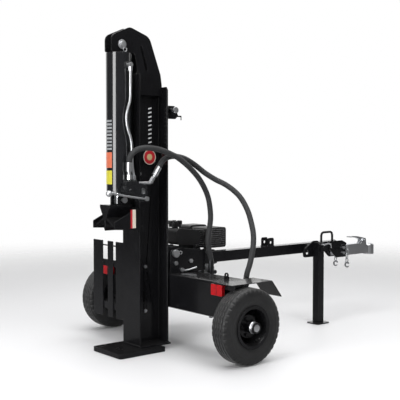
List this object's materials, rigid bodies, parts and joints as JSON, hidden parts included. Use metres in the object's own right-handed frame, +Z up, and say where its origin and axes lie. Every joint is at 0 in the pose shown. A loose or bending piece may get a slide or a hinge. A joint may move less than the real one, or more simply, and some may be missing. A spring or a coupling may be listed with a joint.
{
  "type": "towed hydraulic log splitter",
  "caption": "Towed hydraulic log splitter with a tilting vertical beam, wedge ram, engine-driven pump, tank axle, road wheels, tow bar with coupler, and folding jack.",
  "frame": {"origin": "on the ground, in the underside of the foot plate, under the middle of the upright beam", "axes": "+X towards the tow hitch, +Y to the trailer's left, +Z up"},
  "size_m": [2.378, 1.436, 1.8031],
  "materials": {
    "black_coat": "gloss black powder coat",
    "cylinder_coat": "semi-gloss black paint",
    "zinc": "bright zinc plate",
    "chrome_rod": "hard-chromed and ground",
    "machined": "machined steel",
    "cast_alloy": "as-cast aluminium",
    "engine_metal": "dark painted casting",
    "black_plastic": "moulded black plastic",
    "heat_black": "heat-proof satin black",
    "muffler_steel": "aluminised sheet steel",
    "tyre_rubber": "black tyre rubber",
    "hose_sleeve": "woven nylon abrasion sleeve",
    "hose_rubber": "smooth black rubber",
    "lamp_red": "red acrylic lens"
  },
  "bodies": {
    "trailer": {"hydraulic_tank": "black_coat", "axle_stubs": "black_coat", "fenders": "black_coat", "tail_lights": "lamp_red", "tongue_tube": "black_coat", "pivot_bracket": "black_coat", "pivot_pin": "zinc", "bracket_bolts": "zinc", "jack_mount": "black_coat", "grab_handle": "black_coat", "coupler_gusset": "black_coat", "coupler_body": "zinc", "safety_chains": "zinc", "engine_plate": "black_coat", "engine_block": "engine_metal", "fuel_tank": "black_plastic", "muffler": "muffler_steel", "muffler_guard": "heat_black", "air_cleaner": "black_plastic", "recoil_housing": "black_plastic", "bell_housing": "cast_alloy", "gear_pump": "cast_alloy", "suction_hose": "hose_rubber", "trailer_hose_fittings": "zinc"},
    "beam": {"i_beam": "black_coat", "foot_plate": "black_coat", "cylinder_mount_plates": "black_coat", "cylinder_pin": "zinc", "cylinder_barrel": "cylinder_coat", "cylinder_gland": "cylinder_coat", "control_valve": "cylinder_coat", "work_port_pipe": "zinc", "beam_hose_fittings": "zinc", "log_cradle": "black_coat", "web_bolts": "zinc", "beam_latch_bracket": "black_coat", "pivot_lugs": "black_coat", "pressure_hose": "hose_sleeve", "return_hose": "hose_sleeve"},
    "ram": {"piston": "machined", "piston_rod": "chrome_rod", "rod_pin": "zinc", "wedge_slide": "black_coat", "wedge": "black_coat"},
    "valve_lever": {"valve_lever": "zinc"},
    "valve_spool": {"valve_spool": "machined"},
    "beam_latch_pin": {"beam_latch_pin": "zinc"},
    "tilt_lock_lever": {"tilt_lock_lever": "zinc"},
    "tank_filler_cap": {"tank_filler_cap": "black_plastic"},
    "wheel_right": {"tyre_right": "tyre_rubber", "rim_right": "black_coat"},
    "wheel_left": {"tyre_left": "tyre_rubber", "rim_left": "black_coat"},
    "jack": {"jack_leg": "black_coat"},
    "jack_pin": {"jack_pin": "zinc"},
    "coupler_latch": {"coupler_latch": "zinc"},
    "crankshaft": {"crankshaft": "machined"},
    "fuel_cap": {"fuel_cap": "black_plastic"},
    "recoil_grip": {"recoil_grip": "black_plastic"},
    "throttle_lever": {"throttle_lever": "zinc"}
  },
  "joints": [
    {"name": "beam_tilt", "type": "hinge", "parent": "trailer", "child": "beam", "pos_m": [0.147, 0, 0.54], "axis": [0, 1, 0], "range_deg": [0, 90], "deforming": ["pressure_hose", "return_hose"]},
    {"name": "wedge_slide", "type": "slide", "parent": "beam", "child": "ram", "axis": [0, 0, -1], "range_m": [0, 0.61]},
    {"name": "valve_handle", "type": "hinge", "parent": "beam", "child": "valve_lever", "pos_m": [-0.084, -0.102, 0.862], "axis": [0, 1, 0], "range_deg": [-9, 9], "stiffness_Nm_per_rad": 12},
    {"name": "spool_travel", "type": "slide", "parent": "beam", "child": "valve_spool", "axis": [1, 0, 0], "range_m": [-0.0095, 0.0095]},
    {"name": "latch_pin", "type": "slide", "parent": "beam", "child": "beam_latch_pin", "axis": [0, 1, 0], "range_m": [0, 0.0235]},
    {"name": "tilt_lock", "type": "hinge", "parent": "trailer", "child": "tilt_lock_lever", "pos_m": [0.196, -0.08, 0.442], "axis": [0, -1, 0], "range_deg": [0, 15]},
    {"name": "filler_cap_turn", "type": "hinge", "parent": "trailer", "child": "tank_filler_cap", "pos_m": [0.215, 0.3, 0.44], "axis": [0, 0, 1], "range_deg": [0, 120]},
    {"name": "wheel_right_spin", "type": "hinge", "parent": "trailer", "child": "wheel_right", "pos_m": [0.191, -0.638, 0.203], "axis": [0, 1, 0], "continuous": true},
    {"name": "wheel_left_spin", "type": "hinge", "parent": "trailer", "child": "wheel_left", "pos_m": [0.191, 0.638, 0.203], "axis": [0, 1, 0], "continuous": true},
    {"name": "jack_fold", "type": "hinge", "parent": "trailer", "child": "jack", "pos_m": [1.3, -0.138, 0.49], "axis": [0, 1, 0], "range_deg": [0, 90]},
    {"name": "jack_pin_slide", "type": "slide", "parent": "jack", "child": "jack_pin", "axis": [0, 1, 0], "range_m": [0, 0.012]},
    {"name": "coupler_lever", "type": "hinge", "parent": "trailer", "child": "coupler_latch", "pos_m": [1.92, 0, 0.505], "axis": [0, 1, 0], "range_deg": [0, 60]},
    {"name": "crank_spin", "type": "hinge", "parent": "trailer", "child": "crankshaft", "pos_m": [0.43, 0.2, 0.412], "axis": [0, 1, 0], "continuous": true},
    {"name": "fuel_cap_turn", "type": "hinge", "parent": "trailer", "child": "fuel_cap", "pos_m": [0.38, 0.22, 0.66], "axis": [0, 0, 1], "range_deg": [0, 90]},
    {"name": "recoil_pull", "type": "slide", "parent": "trailer", "child": "recoil_grip", "axis": [0, 0, 1], "range_m": [0, 0.15], "stiffness_N_per_m": 60, "springref_m": -0.02},
    {"name": "throttle", "type": "hinge", "parent": "trailer", "child": "throttle_lever", "pos_m": [0.5, 0.413, 0.53], "axis": [0, 1, 0], "range_deg": [-35, 0]}
  ],
  "couplings": [
    {"joint": "spool_travel", "follows": "valve_handle", "m_per_rad": 0.056}
  ]
}
